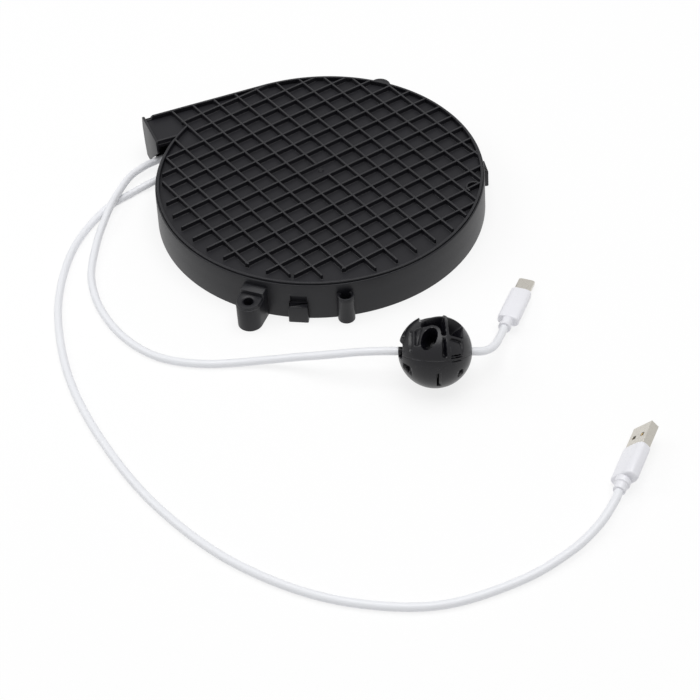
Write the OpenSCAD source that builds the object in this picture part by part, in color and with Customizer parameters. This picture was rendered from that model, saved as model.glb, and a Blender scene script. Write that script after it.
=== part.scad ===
// Retractable charging cable: a flat drum housing with a ribbed face, a sprung drum inside,
// a pull-out cable with a ball stop and a small oval plug, and a fixed lead with a flat plug.
// Origin: centre of the drum, on the surface the housing stands on. +Z up, the straight side
// wall runs along X and the cable mouth faces -X.

/* [Housing] */
// Outside radius of the round wall at its foot
wall_r = 87.6; // [87:0.2:92]
// Height from the foot to the top of the ribs and the rim bead
housing_h = 22.2; // [22:0.1:26]
// Thickness of the side wall
wall_t = 2.4; // [1.8:0.1:2.6]
// How much the wall leans in from foot to shoulder
wall_draft = 0.8; // [0.3:0.1:1]
// Thickness of the ribbed face between the ribs
roof_t = 1.8; // [1.2:0.1:2]
// Height of the ribs above the pocket floors
rib_h = 2.6; // [1.6:0.1:2.8]
// Thickness of one rib
rib_w = 1.3; // [0.8:0.1:2]
// Pitch of the ribs that stand across the grid
rib_pitch_across = 12; // [10:0.1:16]
// Pitch of the ribs that lie along the grid
rib_pitch_along = 10.8; // [9:0.1:16]
// Turn of the rib grid from the straight wall
rib_turn = 12.6; // [0:0.1:30]
// Thickness of the base cover
base_t = 2; // [1.8:0.1:2.2]

/* [Cable mouth] */
// How far the end of the outlet stays back from the far side of the round wall
outlet_back = 17.6; // [16.6:0.2:18.6]
// Width of the outlet across the cable
outlet_w = 25.6; // [24.6:0.2:26.2]
// Thickness of the plate across the mouth
plate_t = 1.4; // [1.2:0.1:2]

/* [Lugs and clips] */
// Radius of the rounded end of a fixing lug
lug_r = 6.3; // [5.5:0.1:7.5]
// Radius of the screw bore in a fixing lug
lug_bore_r = 2.5; // [1.6:0.1:3]
// Height of a fixing lug
lug_h = 15.4; // [8:0.2:17]
// Width of a clip catch
clip_w = 10; // [6:0.5:14]

/* [Drum] */
// Room between the drum flanges and the wall
flange_gap = 12.2; // [11.7:0.1:14]
// Depth of the cable channel, from the flanges' edge to the first turn
channel_deep = 17; // [16.5:0.5:19]
// Radius of the steel spindle
spindle_r = 4.5; // [4:0.1:5]
// Thickness of the mainspring strip
strip_t = 0.6; // [0.3:0.05:0.8]
// Number of half turns of the mainspring
spring_halves = 22; // [12:2:24]

/* [Cables and plugs] */
// Diameter of both cables
cable_d = 4; // [3.8:0.1:4.1]
// Radius of the ball stop
ball_r = 17.5; // [15:0.1:18]
// Width of the oval plug's moulded body
oval_body_w = 10.6; // [10:0.1:12]
// Thickness of the oval plug's moulded body
oval_body_t = 6; // [5.6:0.1:6.6]
// Length of the oval plug's moulded body
oval_body_l = 26.5; // [22:0.5:28]
// Width of the flat plug's moulded body
flat_body_w = 14.4; // [14:0.1:16]
// Thickness of the flat plug's moulded body
flat_body_t = 7.4; // [7:0.1:8]
// Length of the flat plug's moulded body
flat_body_l = 19.5; // [18:0.5:24]

/* [Hidden] */
$fn = 96;

// One overrun for every cut, and the gaps left where pieces seat or run
over = 1;
seat_gap = 0.2;
run_gap = 0.05;

// Levels and radii of the housing
inner_r = wall_r - wall_t;
floor_z = housing_h - rib_h;
roof_z = floor_z - roof_t;
roof_mid = floor_z - roof_t / 2;
wall_mid_r = wall_r - wall_t / 2;
outlet_reach = wall_r - outlet_back;
outlet_near = wall_r - outlet_w;
bead_w = 1.2;
bead_setback = 1.8;
bead_out = wall_r - bead_setback;
bead_in = bead_out - bead_w;
groove_w = 0.5;
groove_deep = 0.8;
shoulder_drop = 1;
shoulder_z = housing_h - shoulder_drop;
near_turn = 180 - asin(outlet_near / wall_r);

// Section of the side wall, with the bead and the groove round the ribbed face
wall_section = [
    [inner_r, 0],
    [wall_r, 0],
    [wall_r - wall_draft, shoulder_z],
    [bead_out + groove_w, shoulder_z],
    [bead_out + groove_w, shoulder_z - groove_deep],
    [bead_out, shoulder_z - groove_deep],
    [bead_out, housing_h],
    [bead_in, housing_h],
    [bead_in, roof_mid],
    [inner_r, roof_mid]
];

// Rib grid: where its first ribs stand, its small lean, and the area that holds ribs
rib_first_across = 2.9;
rib_first_along = -3.9;
rib_lean = 0.8;
rib_zone_inset = 2.9;
rib_zone_r = wall_r - rib_zone_inset;
rib_zone_at = [3.5, 4];
rib_rows = ceil(wall_r / min(rib_pitch_across, rib_pitch_along));
first_row = -6;
outlet_rib = -3;
outlet_rib_at = rib_first_across + outlet_rib * rib_pitch_across;
gate_r = 1.7;
gate_deep = 0.5;

// Rim that goes on inside the outlet, and the small round pocket beside the rim
rim_end_turn = 127;
nook_inset = 5.8;
nook_turn = -33;
nook_r = 3.2;

// Plate across the mouth: its lean, and its outline in shares of the outlet's width and height
plate_lean = 3.8;
plate_proud = 1;
plate_shares = [[0.97, 1], [0.97, 0.72], [0.87, 0.33], [0.74, 0], [0.57, 0], [-0.1, 0.73],
    [-0.02, 1]];

// Lugs, the round column and the clip catches on the outside of the wall
front_lug_out = 8.4;
back_lug_out = 4;
front_lug = [wall_r + front_lug_out, -133.4];
back_lug = [wall_r + back_lug_out, 46.5];
lug_step = 0.4;
lug_step_h = 1.6;
lug_ledge = 4.2;
lug_ledge_up = 2.2;
column_out = 1.4;
column_at = [wall_r + column_out, -103.7];
column_r = 4.4;
column_h = 16.4;
column_bore_r = 2.8;
column_bore_deep = 5;
column_dish_r = 3.6;
column_dish_deep = 0.9;
clip_turns = [-119, -12, 75];
clip_out = 3.3;
clip_h = 10;
window_h = 4;
window_deep = 1.2;
window_side = 0.8;

// Screw posts inside the wall, and the screws that come up through the base cover
post_inset = 6.6;
post_at_r = inner_r - post_inset;
post_turns = [60, 150, 240, 330];
post_r = 3.3;
post_web_w = 1.4;
cover_screw_r = 1.2;
cover_screw_l = 8;
cover_head_r = 2.5;
cover_head_h = 1;
pilot_deep = 10;
driver_w = 0.6;

// Stack on the spindle, from the base cover up
boss_h = 1.6;
boss_r = 9.5;
boss_skin = 0.8;
washer_t = 0.6;
washer_z = base_t + boss_h;
ring_t = 0.2;
board_t = 0.8;
web_t = 1.4;
ring_z = washer_z + washer_t;
board_z = ring_z + ring_t;
web_z = board_z + board_t;
channel_z = web_z + web_t;
cover_t = 1.4;
roof_gap = 1.6;
cover_z = roof_z - roof_gap - cover_t;
channel_h = cover_z - channel_z;
clip_z = cover_z + cover_t + run_gap;
ring_clip_t = 0.6;
ring_clip_r = 7.5;
ring_clip_mouth = 6.2;
spindle_neck = 0.8;
spindle_end = 0.3;
spindle_top = clip_z + ring_clip_t + spindle_end;

// Drum walls, the cup that holds the mainspring, and the screws of the drum cover
drum_wall = 2;
flange_r = inner_r - flange_gap;
hub_r = flange_r - channel_deep;
cup_gap = 8.4;
cup_in = hub_r - cup_gap;
cup_wall = 1.8;
drum_post_r = 2.7;
drum_post_at = (cup_in + cup_wall + hub_r - drum_wall) / 2;
drum_post_turns = [30, 150, 270];
drum_screw_r = 1;
drum_head_r = 2;
drum_head_h = 0.8;
drum_screw_end = 2.8;
drum_screw_l = channel_h + cover_t - drum_head_h - drum_screw_end;

// Mainspring: a spiral of half turns between the spindle and the cup
spring_in = 9.6;
spring_end_gap = 0.5;
spring_step = (cup_in - spring_end_gap - strip_t - spring_in) / (spring_halves + 1);
spring_clear = 0.8;
spring_z = channel_z + spring_clear;
spring_w = channel_h - 2 * spring_clear;
tab_share = 0.8;
tail_l = 1.6;

// Contact rings under the drum, and the brushes that rub on them
board_in = 22;
board_out = 44;
ring_w = 2.4;
ring_first = 25;
ring_pitch = 5;
ring_count = 4;
block_turn = 120;
block_w = 9;
block_t = 1.1;
block_end = 1.5;
brush_l = 7;
brush_w = 1.6;
brush_t = 0.25;
brush_tip_r = 0.6;
brush_top = ring_z - run_gap;
wire_r = 0.35;
wire_pitch = 1.2;
wire_z = base_t + wire_r;

// Clamp on the inner end of the fixed lead
lead_z = 4.2;
slot_proud = 0.7;
slot_side = 140.3;
slot_turn = -166;
slot_l = 16;
slot_r = wall_mid_r + slot_proud;
slot_at = [slot_r * cos(slot_side), slot_r * sin(slot_side)];
clamp_from_slot = [11.4, -1.85];
clamp_at = slot_at + clamp_from_slot;
clamp_post_r = 2.4;
clamp_bar = [4.4, 12.2, 1.6];
clamp_bar_from_post = [-2.2, -2.6];
clamp_bar_from = clamp_at + clamp_bar_from_post;
clamp_z = lead_z + cable_d / 2 + seat_gap;
clamp_lip = 1.2;
clamp_screw_r = 0.9;
clamp_screw_l = 4.6;
clamp_head_r = 2;
clamp_head_h = 1.1;

// Cable on the drum: two layers, with this many turns side by side
coil_turns = 2;
coil_layers = max(1, floor(channel_h / cable_d));
coil_z = channel_z + seat_gap / 2;

// Route of the pull-out cable, from the drum through the mouth to the oval plug
retract_route = [[-20, 65, 9.4], [-38, 65.6, 9.4], [-55, 66.4, 7.6], [-72, 67.2, 5.2],
    [-81, 64.6, 5], [-89, 59.4, 5.4], [-98, 49, 6.2], [-105, 39.8, 6.4], [-111.5, 30.6, 5.2],
    [-118, 21, 3.2], [-125.5, 6, 2.1], [-130, -7, 2], [-132, -22, 2], [-131.5, -36, 2],
    [-128.8, -50, 2], [-123.6, -63.5, 2], [-116.4, -74.6, 2], [-107, -83, 2],
    [-95, -90, 2], [-82.5, -95, 2.2], [-72, -99.5, 3.4], [-63.4, -104.4, 5.6],
    [-55.2, -110, 8.6], [-47.2, -116.3, 12], [-39, -121.8, 14.8], [-30.4, -126.4, 16.6],
    [-21.6, -130.7, 17.4], [-12.4, -135, 17.5], [1.8, -141.6, 17.5], [16.6, -148.4, 17.5],
    [23.5, -150.2, 16.6], [30, -147.2, 14.4], [37.7, -138.7, 10.3], [42.3, -133.6, 9.2]];

// Route of the fixed lead, from the clamp through the slot in the wall to the flat plug
lead_route = [[-50, 60, 4.2], [-59, 57.8, 4.2], [-68, 55.4, 4.2], [-78, 53, 3.2],
    [-90, 50.4, 2], [-109, 42.2, 2], [-132, 19.6, 2], [-149, -13.6, 2], [-157.4, -48.7, 2],
    [-159.6, -83, 2], [-155.6, -122, 2], [-146, -162, 2], [-128.6, -201, 2],
    [-105, -232, 2], [-79, -252.6, 2], [-50, -265.2, 2], [-16, -267.2, 2.4],
    [10, -263, 3.8], [27, -256.6, 5.8], [39.1, -248.5, 6.8], [43.5, -244.4, 7]];
cable_sides = 8;

// Ball stop: it sits on the cable, turned and rolled with it
ball_at = [1.8, -141.6, ball_r];
ball_turn = -24.8;
ball_roll = -30;
ball_pocket_deep = 4.8;
ball_floor_r = ball_r - ball_pocket_deep;
ball_web_w = 1.5;
ball_webs = [40, 85, 130];
ball_cross_at = [5.75, -10.25];
ball_cap_at = 13;
ball_flange_h = 1.4;
ring_boss_from = [5.5, -5.6, 6.5];
ring_boss_tilt = 72.8;
ring_boss_turn = -132.4;
ring_boss_r = 6.2;
ring_boss_bore_r = 5.1;
ring_boss_l = 13.2;
ring_boss_deep = 7;

// Small pockets in the ball: place along the cable, turn, width, height and distance out
upper_pockets = [[8.8, 81, 5.2, 1.2, 13.4], [-11.2, 52, 1.8, 6.4, 11]];
lower_pockets = [[-12.8, 114, 3, 4.4, 9.6], [2.1, 126, 1.6, 6.2, 14.8], [13, 128, 2.4, 2.8, 9.8]];
sleeve_r = 3.4;
sleeve_l = 10;
cord_clear = 0.15;

// Oval plug: its pitch down to the floor, collar, nose and tube
oval_turn = 48;
oval_pitch = 10;
oval_collar_l = 6.5;
oval_collar_r = 3.1;
oval_collar_ring = 2.4;
oval_collar_neck = 0.5;
oval_corner_r = 2.7;
oval_shell_w = 8.34;
oval_shell_t = 2.56;
oval_shell_wall = 0.3;
oval_shell_out = 11.2;
oval_shell_in = 5;
oval_slot_w = 6.7;
oval_slot_t = 0.8;
oval_core_set = 0.7;

// Flat plug: its roll on the floor, collar, tube, tongue and contact strips
flat_turn = 43;
flat_roll = -50;
flat_collar_l = 7;
flat_collar_r = 3.6;
flat_collar_neck = 0.7;
flat_collar_ring = 4;
flat_corner_r = 2.4;
flat_shell_w = 12;
flat_shell_t = 4.5;
flat_shell_wall = 0.35;
flat_shell_out = 14;
flat_shell_in = 5;
flat_hole = 2.2;
flat_hole_back = 7.4;
flat_hole_side = 2.7;
tongue_t = 1.9;
tongue_set = 0.6;
strip_count = 4;
strip_pitch = 2.2;
strip_w = 1;
strip_l = 8;
strip_h = 0.15;

// A cord: a tube swept along the points of a route, with one ring at each point
function unit(v) = v / norm(v);
function along(p, i) = unit(p[min(i + 1, len(p) - 1)] - p[max(i - 1, 0)]);
function midway(p, i) =
    (9 * (p[i] + p[i + 1]) - p[max(i - 1, 0)] - p[min(i + 2, len(p) - 1)]) / 16;
function doubled(p) = [for (i = [0 : 2 * len(p) - 2])
    i % 2 == 0 ? p[i / 2] : midway(p, (i - 1) / 2)];

module cord(p, d) {
    n = cable_sides;
    points = [for (i = [0 : len(p) - 1])
        let (t = along(p, i), side = unit(cross(t, [0, 0, 1])), up = cross(side, t))
        for (k = [0 : n - 1])
            p[i] + d / 2 * (cos(360 * k / n) * side + sin(360 * k / n) * up)];
    skins = [for (i = [0 : len(p) - 2], k = [0 : n - 1])
        [i * n + k, i * n + (k + 1) % n, (i + 1) * n + (k + 1) % n, (i + 1) * n + k]];
    last = (len(p) - 1) * n;
    polyhedron(points, concat(skins, [[for (k = [n - 1 : -1 : 0]) k]],
        [[for (k = [0 : n - 1]) last + k]]));
}

// Outline of the housing in plan: the round part and the straight-sided outlet
module outline(r, reach, near) {
    circle(r);
    translate([-reach, near]) square([reach, r - near]);
}

// Places its children on a circle, with +X pointing outwards
module out_at(turn, r = 0) {
    rotate([0, 0, turn]) translate([r, 0, 0]) children();
}

// A flat section with round corners, and the same section drawn out along +X
module round_rect(w, h, r) {
    square([w - 2 * r, h], center = true);
    square([w, h - 2 * r], center = true);
    for (x = [-1, 1], y = [-1, 1])
        translate([x * (w / 2 - r), y * (h / 2 - r)]) circle(r, $fn = 48);
}

module bar(l, w, h, r) {
    rotate([90, 0, 90]) linear_extrude(l) round_rect(w, h, r);
}

// A screw that points up, with its head below the origin and a crossed recess in it
module screw(head_r, head_h, shank_r, shank_l) {
    difference() {
        union() {
            translate([0, 0, -head_h]) cylinder(r = head_r, h = head_h, $fn = 32);
            cylinder(r = shank_r, h = shank_l, $fn = 24);
        }
        for (t = [0, 90])
            rotate([0, 0, t])
                translate([-head_r * 2 / 3, -driver_w / 2, -head_h - over])
                    cube([head_r * 4 / 3, driver_w, over + head_h / 2]);
    }
}

// Housing shell
module side_wall() {
    rotate([0, 0, near_turn]) rotate_extrude(angle = 450 - near_turn) polygon(wall_section);
    translate([-outlet_reach, 0, 0])
        rotate([90, 0, 90]) linear_extrude(outlet_reach) polygon(wall_section);
}

module rib_zone() {
    intersection() {
        outline(bead_in + bead_w / 2, outlet_reach, outlet_near);
        union() {
            translate(rib_zone_at) circle(rib_zone_r);
            rotate(rib_turn + rib_lean)
                translate([outlet_rib_at - rib_w / 2 - run_gap, 0]) square(2 * wall_r);
        }
    }
}

module rib_grid() {
    for (i = [-rib_rows : rib_rows])
        rotate(rib_turn + rib_lean)
            translate([rib_first_across + i * rib_pitch_across - rib_w / 2, -wall_r])
                square([rib_w, 2 * wall_r]);
    for (i = [first_row : rib_rows])
        rotate(rib_turn)
            translate([i == first_row ? outlet_rib_at : -wall_r,
                rib_first_along + i * rib_pitch_along - rib_w / 2])
                square([2 * wall_r, rib_w]);
    rotate(nook_turn) translate([wall_r - nook_inset, 0]) difference() {
        circle(nook_r + rib_w, $fn = 48);
        circle(nook_r, $fn = 48);
    }
}

module missing_rib() {
    rotate(rib_turn)
        translate([rib_first_across - rib_w, rib_first_along + rib_w / 2])
            square([2 * rib_w, rib_pitch_along - rib_w]);
}

module ribs() {
    translate([0, 0, roof_mid])
        linear_extrude(housing_h - roof_mid)
            difference() {
                intersection() {
                    rib_zone();
                    rib_grid();
                }
                missing_rib();
            }
}

module near_edge() {
    corner_x = sqrt(bead_in * bead_in - outlet_near * outlet_near);
    translate([-outlet_reach, outlet_near, roof_mid])
        cube([outlet_reach - corner_x, bead_w, housing_h - roof_mid]);
    rotate([0, 0, rim_end_turn])
        rotate_extrude(angle = near_turn + run_gap - rim_end_turn)
            translate([bead_in, roof_mid]) square([bead_w, housing_h - roof_mid]);
}

module mouth_plate() {
    w = wall_r - outlet_near;
    translate([-outlet_reach - plate_proud, outlet_near, housing_h])
        rotate([0, plate_lean, 0])
            translate([0, 0, -housing_h])
                rotate([90, 0, 90])
                    linear_extrude(plate_t)
                        polygon([for (s = plate_shares) [s[0] * w, s[1] * housing_h]]);
}

module lug(at) {
    w = 2 * (lug_r - run_gap);
    out_at(at[1]) {
        translate([wall_mid_r, -w / 2, 0]) cube([at[0] - wall_mid_r, w, lug_h - lug_step]);
        translate([wall_mid_r, -w / 2, 0])
            cube([at[0] - lug_ledge - wall_mid_r, w, lug_h + lug_ledge_up]);
        translate([at[0], 0, 0]) cylinder(r = lug_r, h = lug_h - lug_step_h);
        translate([at[0], 0, 0]) cylinder(r = lug_r - lug_step, h = lug_h);
    }
}

module clip_catch(turn) {
    out_at(turn, wall_mid_r)
        translate([0, -clip_w / 2, 0]) cube([wall_r + clip_out - wall_mid_r, clip_w, clip_h]);
}

module clip_window(turn) {
    out_at(turn, wall_r - window_deep)
        translate([0, window_side - clip_w / 2, clip_h])
            cube([window_deep + over, clip_w - 2 * window_side, window_h]);
}

module screw_post(turn) {
    out_at(turn, post_at_r) {
        translate([0, 0, base_t]) cylinder(r = post_r, h = roof_mid - base_t, $fn = 48);
        translate([0, -post_web_w / 2, base_t])
            cube([wall_mid_r - post_at_r, post_web_w, roof_mid - base_t - run_gap]);
    }
}

module housing_shell() {
    color("#2b2b2d") difference() {
        union() {
            side_wall();
            translate([0, 0, roof_z])
                linear_extrude(roof_t) outline(wall_mid_r, outlet_reach, outlet_near);
            ribs();
            near_edge();
            mouth_plate();
            for (at = [front_lug, back_lug]) lug(at);
            difference() {
                out_at(column_at[1], column_at[0]) cylinder(r = column_r, h = column_h);
                translate([0, 0, -over]) cylinder(r = wall_mid_r, h = column_h + 2 * over);
            }
            for (t = clip_turns) clip_catch(t);
            for (t = post_turns) screw_post(t);
        }
        for (at = [front_lug, back_lug])
            out_at(at[1], at[0])
                translate([0, 0, -over]) cylinder(r = lug_bore_r, h = lug_h + 2 * over);
        out_at(column_at[1], column_at[0]) {
            translate([0, 0, column_h - column_bore_deep])
                cylinder(r = column_bore_r, h = column_bore_deep + over);
            translate([0, 0, column_h - column_dish_deep])
                cylinder(r = column_dish_r, h = column_dish_deep + over);
        }
        for (t = clip_turns) clip_window(t);
        for (t = post_turns)
            out_at(t, post_at_r)
                translate([0, 0, base_t - over])
                    cylinder(r = cover_screw_r + run_gap, h = pilot_deep + over, $fn = 24);
        rotate([0, 0, rib_turn])
            translate([rib_first_across, rib_first_along + rib_pitch_along * 2 / 3,
                floor_z - gate_deep])
                cylinder(r = gate_r, h = rib_h, $fn = 24);
        translate([slot_at[0], slot_at[1], 0])
            rotate([0, 0, slot_turn])
                translate([-slot_l / 2, -cable_d / 2 - seat_gap, -over])
                    cube([slot_l, cable_d + 2 * seat_gap,
                        lead_z + cable_d / 2 + seat_gap + over]);
    }
}

// Base cover, with the boss that carries the spindle and the post of the lead clamp
module base_cover() {
    color("#262628") difference() {
        union() {
            linear_extrude(base_t)
                outline(inner_r - seat_gap, outlet_reach - plate_t, outlet_near + seat_gap);
            cylinder(r = boss_r, h = base_t + boss_h);
            translate([clamp_at[0], clamp_at[1], 0])
                cylinder(r = clamp_post_r, h = clamp_z, $fn = 32);
        }
        translate([0, 0, boss_skin]) cylinder(r = spindle_r, h = base_t + boss_h);
        translate([clamp_at[0], clamp_at[1], base_t])
            cylinder(r = clamp_screw_r + run_gap, h = clamp_z, $fn = 24);
        for (t = post_turns)
            out_at(t, post_at_r) {
                translate([0, 0, -over])
                    cylinder(r = cover_screw_r + seat_gap, h = base_t + 2 * over, $fn = 24);
                translate([0, 0, -over])
                    cylinder(r = cover_head_r + seat_gap, h = cover_head_h + over, $fn = 32);
            }
    }
}

module cover_screws() {
    color("silver")
        for (t = post_turns)
            out_at(t, post_at_r)
                translate([0, 0, cover_head_h])
                    screw(cover_head_r, cover_head_h, cover_screw_r, cover_screw_l);
}

// Steel spindle, slotted for the inner end of the mainspring
module spindle() {
    color("#a9abad") difference() {
        translate([0, 0, boss_skin]) cylinder(r = spindle_r, h = spindle_top - boss_skin);
        translate([-spindle_r - over, -strip_t - seat_gap, spring_z - seat_gap])
            cube([2 * (spindle_r + over), strip_t + 2 * seat_gap, spindle_top]);
        translate([0, 0, clip_z])
            difference() {
                cylinder(r = spindle_r + over, h = ring_clip_t);
                translate([0, 0, -over])
                    cylinder(r = spindle_r - spindle_neck, h = ring_clip_t + 2 * over);
            }
    }
}

module thrust_washer() {
    color("#c9c4b4") translate([0, 0, washer_z]) difference() {
        cylinder(r = boss_r, h = washer_t);
        translate([0, 0, -over]) cylinder(r = spindle_r + run_gap, h = washer_t + 2 * over);
    }
}

module retaining_clip() {
    color("#8f9294") translate([0, 0, clip_z]) difference() {
        cylinder(r = ring_clip_r, h = ring_clip_t);
        translate([0, 0, -over])
            cylinder(r = spindle_r - spindle_neck, h = ring_clip_t + 2 * over);
        translate([0, -ring_clip_mouth / 2, -over])
            cube([ring_clip_r + over, ring_clip_mouth, ring_clip_t + 2 * over]);
    }
}

// Mainspring: half turns whose centres alternate, a tab in the spindle and a bent tail
module mainspring() {
    color("#7d8185") translate([0, 0, spring_z]) {
        for (k = [0 : spring_halves - 1])
            translate([k % 2 * spring_step, 0, 0])
                rotate([0, 0, k % 2 * 180])
                    rotate_extrude(angle = 180)
                        translate([spring_in + k * spring_step, 0])
                            square([strip_t, spring_w]);
        translate([-spindle_r * tab_share, -strip_t, 0])
            cube([spring_in + strip_t + spindle_r * tab_share, strip_t, spring_w]);
        translate([spring_in + spring_halves * spring_step, 0, 0])
            cube([tail_l, strip_t, spring_w]);
    }
}

// Brush block on the base cover, with one sprung brush for each ring
module brush_block() {
    length = ring_pitch * (ring_count - 1) + ring_w + 2 * block_end;
    color("#3a4a3c") out_at(block_turn, ring_first - ring_w / 2 - block_end)
        translate([0, -block_w / 2, base_t]) cube([length, block_w, block_t]);
}

module contact_brushes() {
    color("#c58a4a")
        for (k = [0 : ring_count - 1])
            out_at(block_turn, ring_first + k * ring_pitch) {
                translate([-brush_w / 2, -brush_l / 2, base_t + block_t])
                    cube([brush_w, brush_l, brush_t]);
                translate([0, brush_l / 4, base_t + block_t])
                    cylinder(r = brush_tip_r, h = brush_top - base_t - block_t, $fn = 24);
            }
}

// Four wires from the end of the fixed lead to the brush block
module rod(from, to, r) {
    d = to - from;
    translate(from)
        rotate([0, acos(d[2] / norm(d)), atan2(d[1], d[0])])
            cylinder(r = r, h = norm(d), $fn = 16);
}

module lead_wires() {
    block_out = ring_first + ring_pitch * (ring_count - 1) + ring_w / 2 + block_end;
    start = lead_route[0];
    ahead = unit(lead_route[0] - lead_route[1]);
    aside = cross([0, 0, 1], ahead);
    color("#b5302c")
        for (k = [0 : 3]) {
            shift = (k - 3 / 2) * wire_pitch;
            end = [(block_out + wire_r) * cos(block_turn) + shift * sin(block_turn),
                (block_out + wire_r) * sin(block_turn) - shift * cos(block_turn), wire_z];
            rod(start + wire_r * ahead + shift * aside, end, wire_r);
        }
}

module lead_clamp() {
    color("#3a3a3c") difference() {
        union() {
            translate([clamp_bar_from[0], clamp_bar_from[1], clamp_z]) cube(clamp_bar);
            translate([clamp_bar_from[0], clamp_bar_from[1] + clamp_bar[1] - clamp_lip, base_t])
                cube([clamp_bar[0], clamp_lip, clamp_z - base_t + clamp_bar[2]]);
        }
        translate([clamp_at[0], clamp_at[1], clamp_z - over])
            cylinder(r = clamp_screw_r + seat_gap, h = clamp_bar[2] + 2 * over, $fn = 24);
    }
}

module clamp_screw() {
    color("silver") translate([clamp_at[0], clamp_at[1], clamp_z + clamp_bar[2]])
        rotate([180, 0, 0])
            screw(clamp_head_r, clamp_head_h, clamp_screw_r, clamp_screw_l);
}

// Cable drum: lower flange, cup for the mainspring, wall under the cable, and bearing
module cable_drum() {
    color("#4a4b4e") difference() {
        union() {
            translate([0, 0, web_z]) cylinder(r = flange_r, h = web_t);
            translate([0, 0, ring_z + run_gap]) cylinder(r = boss_r, h = channel_z - ring_z);
            translate([0, 0, channel_z]) {
                difference() {
                    cylinder(r = hub_r, h = channel_h);
                    translate([0, 0, -over])
                        cylinder(r = hub_r - drum_wall, h = channel_h + 2 * over);
                }
                difference() {
                    cylinder(r = cup_in + cup_wall, h = channel_h);
                    translate([0, 0, -over]) cylinder(r = cup_in, h = channel_h + 2 * over);
                }
                for (t = drum_post_turns)
                    out_at(t, drum_post_at) cylinder(r = drum_post_r, h = channel_h, $fn = 32);
            }
        }
        translate([0, 0, ring_z - over])
            cylinder(r = spindle_r + run_gap, h = cover_z - ring_z + 2 * over);
        translate([cup_in - over, -seat_gap, channel_z + seat_gap])
            cube([cup_wall + 2 * over, strip_t + 2 * seat_gap, channel_h + over]);
        for (t = drum_post_turns)
            out_at(t, drum_post_at)
                translate([0, 0, channel_z + spring_clear])
                    cylinder(r = drum_screw_r + run_gap, h = channel_h, $fn = 24);
    }
}

module drum_cover() {
    color("#505155") translate([0, 0, cover_z]) difference() {
        cylinder(r = flange_r, h = cover_t);
        translate([0, 0, -over]) cylinder(r = spindle_r + run_gap, h = cover_t + 2 * over);
        for (t = drum_post_turns)
            out_at(t, drum_post_at) {
                translate([0, 0, -over])
                    cylinder(r = drum_screw_r + seat_gap, h = cover_t + 2 * over, $fn = 24);
                translate([0, 0, cover_t - drum_head_h])
                    cylinder(r = drum_head_r + seat_gap, h = drum_head_h + over, $fn = 32);
            }
    }
}

module drum_screws() {
    color("silver")
        for (t = drum_post_turns)
            out_at(t, drum_post_at)
                translate([0, 0, cover_z + cover_t - drum_head_h])
                    rotate([180, 0, 0])
                        screw(drum_head_r, drum_head_h, drum_screw_r, drum_screw_l);
}

module contact_board() {
    color("#1f5c3a") translate([0, 0, board_z]) difference() {
        cylinder(r = board_out, h = board_t);
        translate([0, 0, -over]) cylinder(r = board_in, h = board_t + 2 * over);
    }
}

module contact_rings() {
    color("#d9a441")
        for (k = [0 : ring_count - 1])
            translate([0, 0, ring_z]) difference() {
                cylinder(r = ring_first + k * ring_pitch + ring_w / 2, h = ring_t);
                translate([0, 0, -over])
                    cylinder(r = ring_first + k * ring_pitch - ring_w / 2,
                        h = ring_t + 2 * over);
            }
}

// Cable still on the drum, as one ring-shaped solid with rounded outer turns
module wound_cable() {
    color("#f2f2f3") rotate_extrude() {
        translate([hub_r + seat_gap / 2, coil_z])
            square([coil_turns * cable_d - cable_d / 2, coil_layers * cable_d]);
        for (k = [0 : coil_layers - 1])
            translate([hub_r + seat_gap / 2 + coil_turns * cable_d - cable_d / 2,
                coil_z + cable_d / 2 + k * cable_d])
                circle(cable_d / 2, $fn = 32);
    }
}

module retractable_cable() {
    color("#f2f2f3") cord(retract_route, cable_d);
}

// Ball stop: two moulded halves clamped round the cable and a crimped sleeve
module on_ball() {
    translate(ball_at) rotate([ball_roll, 0, ball_turn]) children();
}

module ball_bore() {
    rotate([0, 90, 0])
        cylinder(r = cable_d / 2 + cord_clear, h = 2 * (ball_r + over), center = true);
    rotate([0, 90, 0]) cylinder(r = sleeve_r + run_gap, h = sleeve_l + seat_gap, center = true);
}

module ball_slab(from, size) {
    intersection() {
        sphere(ball_r);
        translate(from) cube(size);
    }
}

module ball_web(turn) {
    intersection() {
        sphere(ball_r);
        rotate([-turn, 0, 0])
            translate([-ball_r, -ball_r - over, -ball_web_w / 2])
                cube([2 * ball_r, ball_r + over, ball_web_w]);
    }
}

module ball_apron() {
    intersection() {
        sphere(ball_r);
        translate([-ball_r, -ball_r, 0]) cube([2 * ball_r, ball_r, ball_r]);
        rotate([-ball_webs[0], 0, 0])
            translate([-ball_r - over, -2 * ball_r, -2 * ball_r])
                cube([2 * (ball_r + over), 4 * ball_r, 2 * ball_r]);
    }
}

module ball_pocket(p) {
    rotate([p[1], 0, 0])
        translate([p[0] - p[2] / 2, -p[3] / 2, p[4]]) cube([p[2], p[3], ball_r]);
}

module ring_boss(r, from, l) {
    translate(ring_boss_from)
        rotate([0, ring_boss_tilt, ring_boss_turn])
            translate([0, 0, from]) cylinder(r = r, h = l, $fn = 48);
}

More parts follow.
